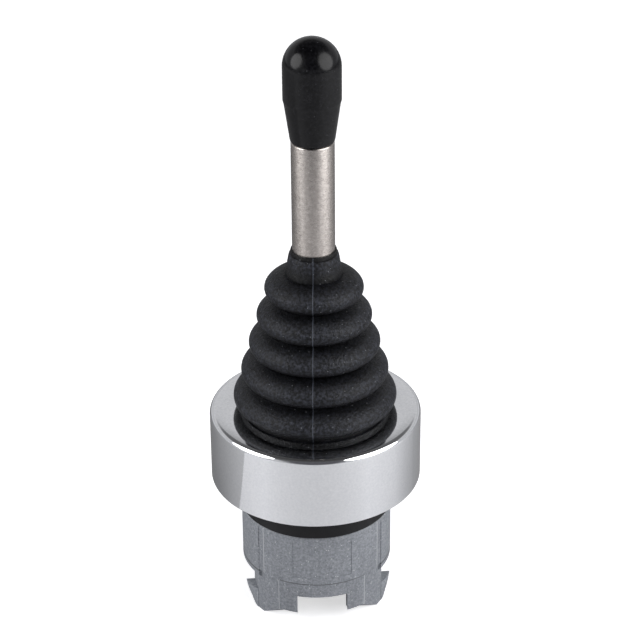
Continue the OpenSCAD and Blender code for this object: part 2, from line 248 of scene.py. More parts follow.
# The boards' corners in millimetres: to the right of the camera's line, and away from the camera
left_board = ((-11, 4), (-260, -103), (-260, 300), (0, 300), (0, 4))
right_board = ((14, 6.4), (0, 6.4), (0, 300), (330, 300), (330, 177))
left_greys = ((0.21, 0.50), (-0.36, 0.38), (-0.8, 0.25))
right_greys = ((0.0, 0.50), (-0.5, 0.46), (-0.8, 0.34))
board_z = feet_z + 0.3 * MM
board_turn = Matrix.Rotation(camera_azimuth + math.pi / 2, 3, "Z")
for name, corners, greys in (
    ("left_board", left_board, left_greys), ("right_board", right_board, right_greys),
):
    card = bpy.data.materials.new(name)
    card.use_nodes = True
    shader = card.node_tree.nodes["Principled BSDF"]
    shader.inputs["Roughness"].default_value = 0.9
    card.node_tree.links.new(by_direction(card.node_tree, *greys), shader.inputs["Base Color"])
    bm = bmesh.new()
    verts = [bm.verts.new((x * MM, y * MM, board_z)) for x, y in corners]
    bm.faces.new(verts)
    bmesh.ops.rotate(bm, verts=verts, cent=(0, 0, 0), matrix=board_turn)
    bmesh.ops.recalc_face_normals(bm, faces=bm.faces)
    board = new_object(name, bm)
    board.data.materials.append(card)
    board.visible_camera = False
    board.visible_diffuse = False
    board.visible_shadow = False

# The body
# A zinc die casting, tumbled and left bare: a fine matte grain, light specks painted as its glints, and
# highlights painted as light lines on its edges.
# The collar goes through the panel; the skirt under it carries four bayonet lugs and a notch.


def surface(name, colour, roughness, metallic=0.0, gloss=0.5):
    """A new material with the shader's plain values set; gloss is its specular level."""
    material = bpy.data.materials.new(name)
    material.use_nodes = True
    shader = material.node_tree.nodes["Principled BSDF"]
    shader.inputs["Base Color"].default_value = (*colour, 1)
    shader.inputs["Roughness"].default_value = roughness
    shader.inputs["Metallic"].default_value = metallic
    shader.inputs["Specular IOR Level"].default_value = gloss
    return material


def grain(material, scale, detail=3.0, stretch=(1, 1, 1)):
    """Noise in the piece's own place; scale is in features per millimetre."""
    tree = material.node_tree
    place = add(tree, "TexCoord")
    mapping = add(tree, "Mapping", Scale=stretch)
    noise = add(tree, "TexNoise", Scale=scale / MM, Detail=detail, Roughness=0.6)
    tree.links.new(place.outputs["Object"], mapping.inputs["Vector"])
    tree.links.new(mapping.outputs["Vector"], noise.inputs["Vector"])
    return noise.outputs["Fac"]


def between(material, factor, low, high, into, start=0.35, stop=0.65):
    """Feeds a shader socket with a value or colour that runs from low to high with the factor."""
    tree = material.node_tree
    shader = tree.nodes["Principled BSDF"]
    if isinstance(low, tuple):
        ramp = add(tree, "ValToRGB")
        ramp.color_ramp.elements[0].position = start
        ramp.color_ramp.elements[0].color = (*low, 1)
        ramp.color_ramp.elements[1].position = stop
        ramp.color_ramp.elements[1].color = (*high, 1)
        tree.links.new(factor, ramp.inputs["Fac"])
        tree.links.new(ramp.outputs["Color"], shader.inputs[into])
    else:
        spread = add(tree, "MapRange", From_Min=start, From_Max=stop, To_Min=low, To_Max=high)
        tree.links.new(factor, spread.inputs["Value"])
        tree.links.new(spread.outputs["Result"], shader.inputs[into])


def relief(material, *layers):
    """Bumps one after another, each a factor and its depth."""
    tree = material.node_tree
    last = None
    for factor, depth in layers:
        bump = add(tree, "Bump", Strength=1.0, Distance=depth)
        tree.links.new(factor, bump.inputs["Height"])
        if last is not None:
            tree.links.new(last.outputs["Normal"], bump.inputs["Normal"])
        last = bump
    tree.links.new(last.outputs["Normal"], tree.nodes["Principled BSDF"].inputs["Normal"])


def line(material, angle, half_width, low, high):
    """1 near an upright plane through the axis and between two heights, else 0."""
    tree = material.node_tree
    place = add(tree, "TexCoord")
    across = add(tree, "VectorMath")
    across.operation = "DOT_PRODUCT"
    across.inputs[1].default_value = (-math.sin(angle), math.cos(angle), 0)
    split = add(tree, "SeparateXYZ")
    tree.links.new(place.outputs["Object"], across.inputs[0])
    tree.links.new(place.outputs["Object"], split.inputs[0])
    tests = []
    for value, middle, reach in (
        (across.outputs["Value"], 0, half_width),
        (split.outputs["Z"], (low + high) / 2, (high - low) / 2),
    ):
        test = add(tree, "Math")
        test.operation = "COMPARE"
        test.inputs[1].default_value = middle
        test.inputs[2].default_value = reach
        tree.links.new(value, test.inputs[0])
        tests.append(test)
    both = add(tree, "Math")
    both.operation = "MULTIPLY"
    tree.links.new(tests[0].outputs[0], both.inputs[0])
    tree.links.new(tests[1].outputs[0], both.inputs[1])
    return both.outputs[0]


def dots(material, spacing, size):
    """1 on small scattered specks, else 0."""
    tree = material.node_tree
    place = add(tree, "TexCoord")
    cells = add(tree, "TexVoronoi", Scale=1 / spacing)
    speck = add(tree, "Math")
    speck.operation = "LESS_THAN"
    speck.inputs[1].default_value = size / spacing
    tree.links.new(place.outputs["Object"], cells.inputs["Vector"])
    tree.links.new(cells.outputs["Distance"], speck.inputs[0])
    return speck.outputs[0]


def paint(material, colour, *masks):
    """Lays a colour over the base colour where any of the masks is 1."""
    tree = material.node_tree
    socket = tree.nodes["Principled BSDF"].inputs["Base Color"]
    for mask in masks:
        mix = add(tree, "Mix")
        mix.data_type = "RGBA"
        tree.links.new(socket.links[0].from_socket, mix.inputs[6])
        mix.inputs[7].default_value = (*colour, 1)
        tree.links.new(mask, mix.inputs["Factor"])
        tree.links.new(mix.outputs[2], socket)


zinc = surface("zinc_casting", (0.25, 0.262, 0.28), 0.6, metallic=0.25)
between(zinc, grain(zinc, 3.2, 4), (0.175, 0.187, 0.208), (0.345, 0.36, 0.387), "Base Color", 0.32, 0.72)
between(zinc, grain(zinc, 1.6), 0.52, 0.68, "Roughness")
relief(zinc, (grain(zinc, 1.1), 0.014 * MM), (grain(zinc, 5.0, 2), 0.036 * MM))

# Painted shade in a band under the step between collar and skirt, highlights painted as light lines along the
# front panel's two edges and the skirt's two ridges, and light specks painted as the casting's glints
front_angle = math.radians(-90)
panel_half = math.radians(49.2)
ridge_half = math.radians(35.8)
panel_top_z = 14.0 * MM
step_z = 7.4
step_line_z = feet_z + step_z * MM
step_shade = 0.3 * MM
whole_round = 1.0
# Painted highlights: light lines down the front panel's edges and the skirt's ridges
edge_highlights = []
for turn in (-1, 1):
    edge_highlights.append(line(zinc, front_angle + turn * panel_half, 0.07 * MM, step_line_z, panel_top_z))
    edge_highlights.append(line(zinc, front_angle + turn * ridge_half, 0.06 * MM, 0, step_line_z - step_shade))
# Painted shade: a dark band all round, just under the step
paint(zinc, (0.12, 0.125, 0.135), line(zinc, front_angle, whole_round, step_line_z - step_shade, step_line_z))
paint(zinc, (0.46, 0.47, 0.49), *edge_highlights)
# Painted glints: small light specks scattered over the casting
paint(zinc, (0.56, 0.57, 0.59), dots(zinc, 0.7 * MM, 0.075 * MM))


def finish(piece, material, body, slot, *nodes, sharp=32):
    """Shades a piece, gives it its material, and fixes it to its body in place of CAD nodes."""
    piece.data.materials.clear()
    piece.data.materials.append(material)
    piece.data.shade_smooth()
    piece.data.set_sharp_from_angle(angle=math.radians(sharp))
    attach(piece, body)
    if nodes:
        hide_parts(*nodes)
    return piece


def round_over(bm, edges, size, segments):
    """Rounds edges to a width."""
    bmesh.ops.bevel(
        bm, geom=edges, offset=size, offset_type="OFFSET", segments=segments, profile=0.5,
        affect="EDGES", clamp_overlap=True, material=-1,
    )


def ring_at(bm, radius, height):
    """The edges of a turned piece's ring at a radius and a height."""
    near = 1e-3 * MM
    return [
        e for e in bm.edges
        if all(abs(v.co.xy.length - radius) < near and abs(v.co.z - height) < near for v in e.verts)
    ]


def turned(corners, rounds=(), steps=144):
    """A closed outline of (radius, height) corners turned round Z, with some of its rings rounded."""
    bm = bmesh.new()
    verts = [bm.verts.new((r, 0, z)) for r, z in corners]
    for a, b in zip(verts, verts[1:] + verts[:1]):
        if not (a.co.x == 0 and b.co.x == 0):
            bm.edges.new((a, b))
    bmesh.ops.spin(
        bm, geom=verts + list(bm.edges), cent=(0, 0, 0), axis=(0, 0, 1), angle=math.tau, steps=steps,
        use_merge=True,
    )
    bmesh.ops.remove_doubles(bm, verts=bm.verts, dist=1e-4 * MM)
    bmesh.ops.recalc_face_normals(bm, faces=bm.faces)
    for radius, height, size, segments in rounds:
        round_over(bm, ring_at(bm, radius, height), size, segments)
    return bm


def arc(radius, start, stop, steps=24):
    """Points on a circle round the middle, between two angles in degrees."""
    angles = [math.radians(start + (stop - start) * i / steps) for i in range(steps + 1)]
    return [(radius * math.cos(a), radius * math.sin(a)) for a in angles]


def pushed(corners, low, high, turn=Matrix()):
    """A closed solid: an outline pushed from one height to another, then turned."""
    bm = bmesh.new()
    cap = bm.faces.new([bm.verts.new((x, y, low)) for x, y in corners])
    pulled = bmesh.ops.extrude_face_region(bm, geom=[cap])["geom"]
    far_end = [g for g in pulled if isinstance(g, bmesh.types.BMVert)]
    bmesh.ops.translate(bm, verts=far_end, vec=(0, 0, high - low))
    bmesh.ops.transform(bm, verts=bm.verts, matrix=turn)
    bmesh.ops.recalc_face_normals(bm, faces=bm.faces)
    return bm


def wedge(corners, start, stop, steps=12):
    """A closed solid: an outline of (radius, height) corners turned from one angle to another."""
    bm = bmesh.new()
    cap = bm.faces.new([bm.verts.new((r, 0, z)) for r, z in corners])
    turn = Matrix.Rotation(math.radians(start), 3, "Z")
    bmesh.ops.rotate(bm, verts=bm.verts, cent=(0, 0, 0), matrix=turn)
    bmesh.ops.spin(
        bm, geom=[cap], cent=(0, 0, 0), axis=(0, 0, 1), angle=math.radians(stop - start), steps=steps,
    )
    bmesh.ops.recalc_face_normals(bm, faces=bm.faces)
    return bm


def carved(solid, cutters, operation="DIFFERENCE"):
    """A closed solid without the space of its cutters, or with only what it shares with them."""
    spares = [new_object("cutter", bm) for bm in (solid, *cutters)]
    for cutter in spares[1:]:
        step = spares[0].modifiers.new("cut", "BOOLEAN")
        step.operation = operation
        step.object = cutter
        step.solver = "MANIFOLD"
    bpy.context.view_layer.update()
    seen = spares[0].evaluated_get(bpy.context.evaluated_depsgraph_get())
    bm = bmesh.new()
    bm.from_mesh(seen.to_mesh())
    seen.to_mesh_clear()
    for spare in spares:
        mesh = spare.data
        bpy.data.objects.remove(spare)
        bpy.data.meshes.remove(mesh)
    return bm


def soften(bm, width, least=0.5e-3 * MM):
    """Rounds the sharp edges of a solid, as those of a cast or moulded piece are."""
    flat = math.radians(0.6)
    sharp = math.radians(28)
    bmesh.ops.remove_doubles(bm, verts=bm.verts, dist=least)
    bmesh.ops.dissolve_limit(bm, angle_limit=flat, verts=bm.verts, edges=bm.edges)
    edges = [e for e in bm.edges if len(e.link_faces) == 2 and e.calc_face_angle() > sharp]
    round_over(bm, edges, width, 2)


def softened(node, name, width):
    """A copy of a CAD node with its sharp edges rounded."""
    bm = bmesh.new()
    bm.from_mesh(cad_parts[node].data)
    soften(bm, width)
    return new_object(name, bm)


# The casting is drawn in millimetres, with heights above its feet, and put in its place at the end
collar_r = 10.95
collar_top = 15.4
edge_break = 0.3
neck_r = 9.9
cup_under = 20.7
cup_r = 13.25
cup_rim = 28.5
cup_bore_r = 12.0
cup_floor = 21.4
passage_r = 8.2
skirt_bore_r = 8.6
skirt_bore_top = 14.3
lug_foot_r = 10.55
lug_top = 3.2
spare = 0.5
outside = collar_r + spare
below = -spare
casting = turned((
    (skirt_bore_r, 0), (lug_foot_r, 0), (collar_r, lug_top), (collar_r, collar_top - edge_break),
    (collar_r - edge_break, collar_top), (neck_r, collar_top), (neck_r, cup_under), (cup_r, cup_under),
    (cup_r, cup_rim), (cup_bore_r, cup_rim), (cup_bore_r, cup_floor), (passage_r, cup_floor),
    (passage_r, skirt_bore_top), (skirt_bore_r, skirt_bore_top),
))
cutters = []

# Front and rear of the skirt: a wall set a little back, and beside it the pillars, set back more,
# which taper in under the side sectors; over them a sharp step and a groove at each side
wall_r = 10.72
wall_half = 36
pillar_r = 10.5
sector_edge = 55.1
groove_edge = 49.5
groove_depth = 0.09
pillar_edge = 60
taper_z = 6.5
taper_slope = 1.0667
overlap = 0.02
under_r = pillar_r - overlap
for face in (-90, 90):
    plan = (
        arc(pillar_r, face - sector_edge, face - wall_half)
        + arc(wall_r, face - wall_half, face + wall_half)
        + arc(pillar_r, face + wall_half, face + sector_edge)
        + arc(outside, face + sector_edge, face - sector_edge)
    )
    cutters.append(pushed(plan, below, step_z))
    for turn in (-1, 1):
        low, high = face + turn * groove_edge, face + turn * (sector_edge - 0.1)
        plan = arc(collar_r - groove_depth, low, high) + arc(outside, high, low)
        cutters.append(pushed(plan, step_z - spare, collar_top - spare))
        under = (
            (under_r, below), (outside, below), (outside, taper_z + spare * taper_slope),
            (under_r, taper_z - overlap - (collar_r - pillar_r + overlap) * taper_slope),
        )
        cutters.append(wedge(under, face + turn * (sector_edge - 0.6), face + turn * pillar_edge))

# The side recesses over the lugs, with flat walls that lean in from the slot to the pillars
recess_wall = 9.45
slot_half = 2.45
far_corner = (outside, outside / math.tan(math.radians(pillar_edge)) + spare)
recess_half = [(recess_wall, slot_half), (9.03, 5.4), far_corner]
recess_plan = recess_half + [(x, -y) for x, y in reversed(recess_half)]
recess_r = recess_wall - spare
recess_edge = 30.5
under = (
    (recess_r, lug_top), (outside, lug_top), (outside, taper_z + spare * taper_slope),
    (recess_r, taper_z - (collar_r - recess_r) * taper_slope),
)
for side in (0, 180):
    flat_walled = pushed(recess_plan, 0, taper_z + spare, Matrix.Rotation(math.radians(side), 4, "Z"))
    sloped = wedge(under, side - recess_edge, side + recess_edge, 24)
    cutters.append(carved(sloped, [flat_walled], "INTERSECT"))

# The four lugs: their outer edges in plan, the feet's outline seen from the side, and the rear
# pair's chamfer
lug_edge = [(9.1, 5.3), (10.1, 3.97), (wall_r, slot_half), (outside, slot_half - spare), far_corner]
for side in (-1, 1):
    for end in (-1, 1):
        cutters.append(pushed([(side * x, end * y) for x, y in lug_edge], below, lug_top + spare))
foot = [
    (slot_half, 4.7), (slot_half, 2.4), (3.0, 1.95), (4.0, 1.15), (4.45, 0.4), (4.8, 0.05), (5.4, 0),
    (6.4, 0), (8.9, 2.05), (outside, 2.05), (outside, below),
]
across = Matrix.Rotation(math.pi / 2, 4, "Z") @ Matrix.Rotation(math.pi / 2, 4, "X")
cutters.append(pushed(foot + [(-y, z) for y, z in reversed(foot)], -outside, outside, across))
chamfer = [(9.2, 1.1), (10.8, 3.7), (outside, 3.7), (outside, below), (9.2, below)]
to_rear = Matrix.Rotation(math.pi / 2, 4, "X")
for side in (-1, 1):
    cutters.append(pushed([(side * x, z) for x, z in chamfer], -outside, 0, to_rear))

# The shallow bare field and the notch in front, the keyway at the rear, the circlip's groove and
# the trunnion holes
field_half = 23
field_depth = 0.07
field_low = 8.4
field_top = 14.3
notch_half = 3.65
notch_top = 4.95
keyway_half = 1.1
keyway_r = 9.0
clip_groove_r = 8.95
clip_groove_low = 6.6
clip_groove_top = 7.4
pivot_z = 25.0
trunnion_hole_r = 0.61


def block(half_width, near_y, far_y):
    """A rectangle's corners, across the middle."""
    return [(-half_width, near_y), (half_width, near_y), (half_width, far_y), (-half_width, far_y)]


def circle(radius, steps):
    """Points on a whole circle round the middle."""
    return arc(radius, 0, 360 - 360 / steps, steps - 1)


plan = (
    arc(collar_r - field_depth, -90 - field_half, -90 + field_half)
    + arc(outside, -90 + field_half, -90 - field_half)
)
cutters.append(pushed(plan, field_low, field_top))
cutters.append(pushed(block(notch_half, -outside, -spare), below, notch_top))
cutters.append(pushed(block(keyway_half, 0, keyway_r), below, skirt_bore_top))
cutters.append(pushed(circle(clip_groove_r, 144), clip_groove_low, clip_groove_top))
for side in (0, 180):
    along = Matrix.Translation((0, 0, pivot_z)) @ Matrix.Rotation(math.radians(side), 4, "Z") @ across
    cutters.append(pushed(circle(trunnion_hole_r, 24), cup_bore_r - spare, cup_r + spare, along))
casting = carved(casting, cutters)
to_size = Matrix.Translation((0, 0, feet_z)) @ Matrix.Scale(MM, 4)
bmesh.ops.transform(casting, verts=casting.verts, matrix=to_size)
soften(casting, 0.06 * MM, least=0.02 * MM)
finish(new_object("zinc_body", casting), zinc, "housing", "zinc", "body_casting", sharp=40)

# The panel gasket
# Black moulded rubber: a flange that seals on the panel's face and a short sleeve that shows
# as a dark band between the bezel and the collar.
gasket_rubber = surface("gasket_rubber", (0.008, 0.008, 0.009), 0.42, gloss=0.22)
between(gasket_rubber, grain(gasket_rubber, 2.0), 0.36, 0.5, "Roughness")
relief(gasket_rubber, (grain(gasket_rubber, 5.0), 0.006 * MM))

gasket_low, gasket_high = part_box("panel_gasket")
flange_r = gasket_high.x
sleeve_r = (collar_r + 0.05) * MM
panel_z = 18.7 * MM
gasket_bore_r = 9.95 * MM
outline = (
    (gasket_bore_r, gasket_low.z), (sleeve_r, gasket_low.z), (sleeve_r, panel_z),
    (flange_r, panel_z), (flange_r, gasket_high.z), (gasket_bore_r, gasket_high.z),
)
rounds = ((sleeve_r, gasket_low.z, 0.2 * MM, 4), (flange_r, panel_z, 0.25 * MM, 4))
gasket = new_object("rubber_gasket", turned(outline, rounds))
finish(gasket, gasket_rubber, "housing", "gasket_rubber", "panel_gasket")

# The bezel
# A die-cast ring, polished and chromed: mirror top, straight side and a small round rim. It
# screws down over the cup and clamps the bellows.
chrome = surface("bright_chrome", (0.84, 0.85, 0.87), 0.05, metallic=1.0)
between(chrome, grain(chrome, 0.12, 5), 0.035, 0.085, "Roughness", 0.3, 0.7)
between(chrome, grain(chrome, 3.2, 3), (0.79, 0.802, 0.826), (0.89, 0.898, 0.914), "Base Color", 0.3, 0.7)
relief(chrome, (grain(chrome, 0.05, 2), 0.012 * MM), (grain(chrome, 1.6, 4), 0.0016 * MM))

bezel_low, bezel_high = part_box("bezel")
bezel_foot_z = bezel_low.z - 0.15 * MM
bezel_r = bezel_high.x
bezel_hole_r = 10.3 * MM
bezel_bore_r = 13.3 * MM
bezel_ceiling_z = 28.4 * MM
outline = (
    (bezel_bore_r, bezel_foot_z), (bezel_r, bezel_foot_z), (bezel_r, bezel_high.z),
    (bezel_hole_r, bezel_high.z), (bezel_hole_r, bezel_ceiling_z), (bezel_bore_r, bezel_ceiling_z),
)
rounds = (
    (bezel_r, bezel_high.z, 0.8 * MM, 8), (bezel_r, bezel_foot_z, 0.22 * MM, 4),
    (bezel_hole_r, bezel_high.z, 0.3 * MM, 4), (bezel_bore_r, bezel_foot_z, 0.2 * MM, 3),
)
finish(new_object("chrome_bezel", turned(outline, rounds, 256)), chrome, "housing", "chrome", "bezel")

# The bellows
# One piece of blue-black moulded rubber with a grained skin, five round convolutions, a lip
# that grips the rod, a flange under the bezel, and a parting line down its front and back.
# It is made in two lengths that meet in a valley, because it bends over two crossed axes.
bellows_rubber = surface("bellows_rubber", (0.007, 0.0075, 0.011), 0.45, gloss=0.26)
dark_rubber = (0.002, 0.0022, 0.0035)
pale_rubber = (0.034, 0.037, 0.049)
between(bellows_rubber, grain(bellows_rubber, 2.6, 3), dark_rubber, pale_rubber, "Base Color", 0.42, 0.68)
between(bellows_rubber, grain(bellows_rubber, 1.6), 0.38, 0.52, "Roughness")
relief(bellows_rubber, (grain(bellows_rubber, 1.2), 0.04 * MM), (grain(bellows_rubber, 4.0, 2), 0.13 * MM))

# Radius and height of the top convolution's crest and of the bottom one's; the others are between
lobe_count = 5
lobe_r = [6.98 * MM, 11.68 * MM]
lobe_z = [49.45 * MM, 32.33 * MM]
lobe_round = 2.0 * MM
lobe_sweep = math.radians(80)
shoulder_round = 3.2 * MM
tip_round = 1.35 * MM
tip_drop = 0.25 * MM
shoulder_end = math.radians(35)
tip_start = shoulder_end * 0.95
neck_meets_lobe = math.radians(92)
valley_dip = 0.4 * MM
bellows_wall = 0.9 * MM
lip_grip = 3.2 * MM
inner_neck_r = 3.4 * MM
bellows_low, bellows_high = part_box("bellows")
flange_top_z = bellows_low.z + 0.8 * MM
foot_r = bezel_hole_r - 0.1 * MM
rod_r = 3.0 * MM
# The lip and the neck, in millimetres: radius, and drop from the lip's top
lip = ((3.18, 0), (3.22, 0.08), (3.24, 0.6))
neck = ((3.40, 0.64), (3.46, 0.76), (3.56, 1.1), (3.75, 2.2), (3.95, 3.2), (4.08, 3.65))
seam_angle = math.radians(-96.3)
seam_half_width = math.radians(0.55)
seam_height = 0.07 * MM
split_below = 2
centres = []
for i in range(lobe_count):
    t = i / (lobe_count - 1)
    crest_r = lobe_r[0] + t * (lobe_r[1] - lobe_r[0])
    centres.append((crest_r - lobe_round, lobe_z[0] + t * (lobe_z[1] - lobe_z[0])))

# Painted highlight and shade: each crest lighter and each lobe's upper face darker; then the smooth dark lip,
# the light parting line and stray specks. The wave texture turns its place into an angle at 20 radians a
# unit.
rubber = bellows_rubber.node_tree
wave_radians = 20
lobe_pitch = (lobe_z[0] - lobe_z[1]) / (lobe_count - 1)
crest_rate = math.tau / (wave_radians * lobe_pitch)
# Painted highlight on the crests and painted shade on the upper faces, in bands by height
highlight_crest_z = lobe_z[0] + 0.35 * MM
highlight_place = add(rubber, "TexCoord")
highlight_wave = add(rubber, "TexWave", Scale=crest_rate, Phase_Offset=math.pi - wave_radians * crest_rate * highlight_crest_z)
highlight_wave.bands_direction = "Z"
highlight_shade_mix = add(rubber, "Mix")
highlight_shade_mix.data_type = "RGBA"
highlight_shade_mix.blend_type = "MULTIPLY"
highlight_shade_mix.inputs[0].default_value = 0.85
rubber_colour = rubber.nodes["Principled BSDF"].inputs["Base Color"]
rubber.links.new(highlight_place.outputs["Object"], highlight_wave.inputs["Vector"])
rubber.links.new(rubber_colour.links[0].from_socket, highlight_shade_mix.inputs[6])
rubber.links.new(highlight_wave.outputs["Color"], highlight_shade_mix.inputs[7])
rubber.links.new(highlight_shade_mix.outputs[2], rubber_colour)
lip_low_z = bellows_high.z - 0.62 * MM
lip_mask = line(bellows_rubber, seam_angle, whole_round, lip_low_z, bellows_high.z + 0.1 * MM)
paint(bellows_rubber, (0.0015, 0.0015, 0.002), lip_mask)
seam_mask = line(bellows_rubber, seam_angle, 0.06 * MM, bezel_high.z, bellows_high.z)
paint(bellows_rubber, (0.055, 0.062, 0.08), seam_mask)
paint(bellows_rubber, (0.13, 0.135, 0.145), dots(bellows_rubber, 0.9 * MM, 0.075 * MM))

# All of it reads where each point was moulded, not where bending has put it
moulded_place = add(rubber, "Attribute")
moulded_place.attribute_name = "moulded_place"
for node in [n for n in rubber.nodes if n.bl_idname == "ShaderNodeTexCoord"]:
    for link in list(node.outputs["Object"].links):
        rubber.links.new(moulded_place.outputs["Vector"], link.to_socket)
    rubber.nodes.remove(node)


def trace(bm, points, last=None):
    """Joins points (radius, height) into a wire, from the vertex last on."""
    for r, z in points:
        vert = bm.verts.new((r, 0, z))
        if last is not None:
            bm.edges.new((last, vert))
        last = vert
    return last


def swing(bm, last, centre, radius, start, stop, steps):
    """Adds an arc to a wire: a vertex spun about the arc's centre from one angle to another."""
    beside, above = radius * math.cos(start), radius * math.sin(start)
    first = trace(bm, [(centre[0] + beside, centre[1] + above)], last)
    done = bmesh.ops.spin(
        bm, geom=[first], cent=(centre[0], 0, centre[1]), axis=(0, 1, 0), angle=start - stop, steps=steps,
    )
    return next(g for g in done["geom_last"] if isinstance(g, bmesh.types.BMVert))


def valley(i, inset=0.0):
    """The point between a lobe and the next."""
    return (
        (centres[i][0] + centres[i + 1][0]) / 2 - valley_dip - inset,
        (centres[i][1] + centres[i + 1][1]) / 2,
    )


clearance = 0.03 * MM


def bellows_length(name, lobes):
    """One length of the bellows: its outline walked down the outside and up the inside, then turned."""
    bm = bmesh.new()
    top, bottom = lobes[0], lobes[-1]
    if top == 0:
        last = trace(bm, [(rod_r + clearance, bellows_high.z)])
        last = trace(bm, [(r * MM, bellows_high.z - drop * MM) for r, drop in lip + neck], last)
    else:
        last = trace(bm, [valley(top - 1)])
    first = bm.verts[:][0]
    for i in lobes:
        opening = neck_meets_lobe if i == 0 else lobe_sweep
        tip = (centres[i][0] + lobe_round - tip_round, centres[i][1] - tip_drop)
        inward = shoulder_round - tip_round
        shoulder = (tip[0] - inward * math.cos(shoulder_end), tip[1] - inward * math.sin(shoulder_end))
        last = swing(bm, last, shoulder, shoulder_round, opening, shoulder_end, 9)
        last = swing(bm, last, tip, tip_round, tip_start, -lobe_sweep, 12)
        if i < lobe_count - 1:
            last = trace(bm, [valley(i)], last)
    if bottom == lobe_count - 1:
        foot = [(foot_r, bezel_high.z), (foot_r, flange_top_z), (bellows_high.x, flange_top_z)]
        foot += [(bellows_high.x, bellows_low.z), (foot_r - bellows_wall, bellows_low.z)]
        last = trace(bm, foot + [(foot_r - bellows_wall, bezel_high.z)], last)
    else:
        last = trace(bm, [valley(bottom, bellows_wall)], last)
    for i in reversed(lobes):
        last = swing(bm, last, centres[i], lobe_round - bellows_wall, -lobe_sweep, lobe_sweep, 10)
        if i > 0:
            last = trace(bm, [valley(i - 1, bellows_wall)], last)
    if top == 0:
        grip_z = bellows_high.z - lip_grip
        last = trace(bm, [(inner_neck_r, grip_z - bellows_wall), (rod_r + clearance, grip_z)], last)
    bm.edges.new((last, first))
    bmesh.ops.rotate(bm, verts=bm.verts, cent=(0, 0, 0), matrix=Matrix.Rotation(seam_angle, 3, "Z"))

    # Turned in six steps, so that a row of points falls on the parting line in front and behind,
    # with a row close to it on either side
    rows = [list(bm.verts)]
    wire = list(bm.verts) + list(bm.edges)
    half_round = math.pi - 2 * seam_half_width
    for turn, steps in ((seam_half_width, 1), (half_round, 90), (seam_half_width, 1)) * 2:
        done = bmesh.ops.spin(bm, geom=wire, cent=(0, 0, 0), axis=(0, 0, 1), angle=turn, steps=steps)
        wire = done["geom_last"]
        rows.append([g for g in wire if isinstance(g, bmesh.types.BMVert)])

    # The outer skin stands out a little along the parting line
    crown_z = lobe_z[0] + lobe_round
    lobe_reach = lobe_round * 1.02
    skin_from = lobe_round - 0.4 * MM
    for vert in rows[0] + rows[3] + rows[6]:
        r, z = vert.co.xy.length, vert.co.z
        near = [c for c in centres if abs(z - c[1]) < lobe_reach and z < crown_z]
        away = min((math.hypot(r - c[0], z - c[1]) for c in near), default=lobe_round)
        if z > bezel_high.z and away > skin_from:
            vert.co.xy *= (r + seam_height) / r
    bmesh.ops.remove_doubles(bm, verts=bm.verts, dist=1e-3 * MM)
    bmesh.ops.recalc_face_normals(bm, faces=bm.faces)
    piece = new_object(name, bm)
    piece.data.materials.append(bellows_rubber)
    places = piece.data.attributes.new("moulded_place", "FLOAT_VECTOR", "POINT")
    places.data.foreach_set("vector", [value for vert in piece.data.vertices for value in vert.co])
    piece.data.shade_smooth()
    piece.data.set_sharp_from_angle(angle=math.radians(50))
    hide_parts("bellows")
    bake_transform(piece)


upper_lobes = list(range(split_below + 1))
lower_lobes = list(range(split_below + 1, lobe_count))
bellows_length("bellows_upper", upper_lobes)
bellows_length("bellows_lower", lower_lobes)

# The lever rod
# A 6 mm steel rod, ground round its axis and nickel plated, so that each lamp is drawn out into
# a band along it. Its lower end is stepped for the disc and runs on as a tail into the gate.
rod_steel = surface("ground_steel", (0.60, 0.555, 0.52), 0.34, metallic=1.0)
rod_tree = rod_steel.node_tree
rod_shader = rod_tree.nodes["Principled BSDF"]
rod_shader.inputs["Anisotropic"].default_value = 0.75
rod_shader.inputs["Anisotropic Rotation"].default_value = 0.25
round_axis = add(rod_tree, "Tangent")
round_axis.direction_type = "RADIAL"
round_axis.axis = "Z"
rod_tree.links.new(round_axis.outputs["Tangent"], rod_shader.inputs["Tangent"])
between(rod_steel, grain(rod_steel, 2.2, 4), (0.41, 0.375, 0.35), (0.58, 0.54, 0.51), "Base Color", 0.3, 0.72)
between(rod_steel, grain(rod_steel, 1.5, 3, (1, 1, 3)), 0.23, 0.36, "Roughness")
relief(rod_steel, (grain(rod_steel, 2.5, 3, (0.5, 0.5, 6)), 0.0025 * MM))

rod_low, rod_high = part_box("lever_rod")
knob_low, knob_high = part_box("knob")
disc_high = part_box("rocker_disc")[1]
nut_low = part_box("lever_nut")[0]
spigot_r = 2.0 * MM
screw_r = 1.5 * MM
tail_r = 1.25 * MM
outline = (
    (0, rod_low.z), (tail_r, rod_low.z), (tail_r, nut_low.z - 0.4 * MM), (screw_r, nut_low.z - 0.2 * MM),
    (screw_r, disc_high.z), (rod_r, disc_high.z), (rod_r, knob_low.z), (spigot_r, knob_low.z),
    (spigot_r, rod_high.z), (0, rod_high.z),
)
rounds = (
    (tail_r, rod_low.z, 0.5 * MM, 5), (rod_r, knob_low.z, 0.2 * MM, 3), (rod_r, disc_high.z, 0.2 * MM, 2),
)
finish(new_object("steel_rod", turned(outline, rounds, 96)), rod_steel, "lever", "rod_steel", "lever_rod")

# The knob
# Glossy black plastic moulded round a brass insert: a domed cylinder, a shallow ridge, and a
# taper down to the rod. Use has left it with fine rubs and a few nicks.
knob_plastic = surface("knob_plastic", (0.003, 0.003, 0.0036), 0.2, gloss=0.24)
between(knob_plastic, grain(knob_plastic, 0.35, 5), 0.15, 0.27, "Roughness", 0.35, 0.7)
dark_plastic = (0.001, 0.001, 0.0015)
pale_plastic = (0.0075, 0.0075, 0.009)
between(knob_plastic, grain(knob_plastic, 2.4, 3), dark_plastic, pale_plastic, "Base Color", 0.4, 0.7)
paint(knob_plastic, (0.05, 0.05, 0.055), dots(knob_plastic, 1.1 * MM, 0.07 * MM))
relief(knob_plastic, (grain(knob_plastic, 0.6, 4), 0.006 * MM), (grain(knob_plastic, 3.0, 3), 0.004 * MM))

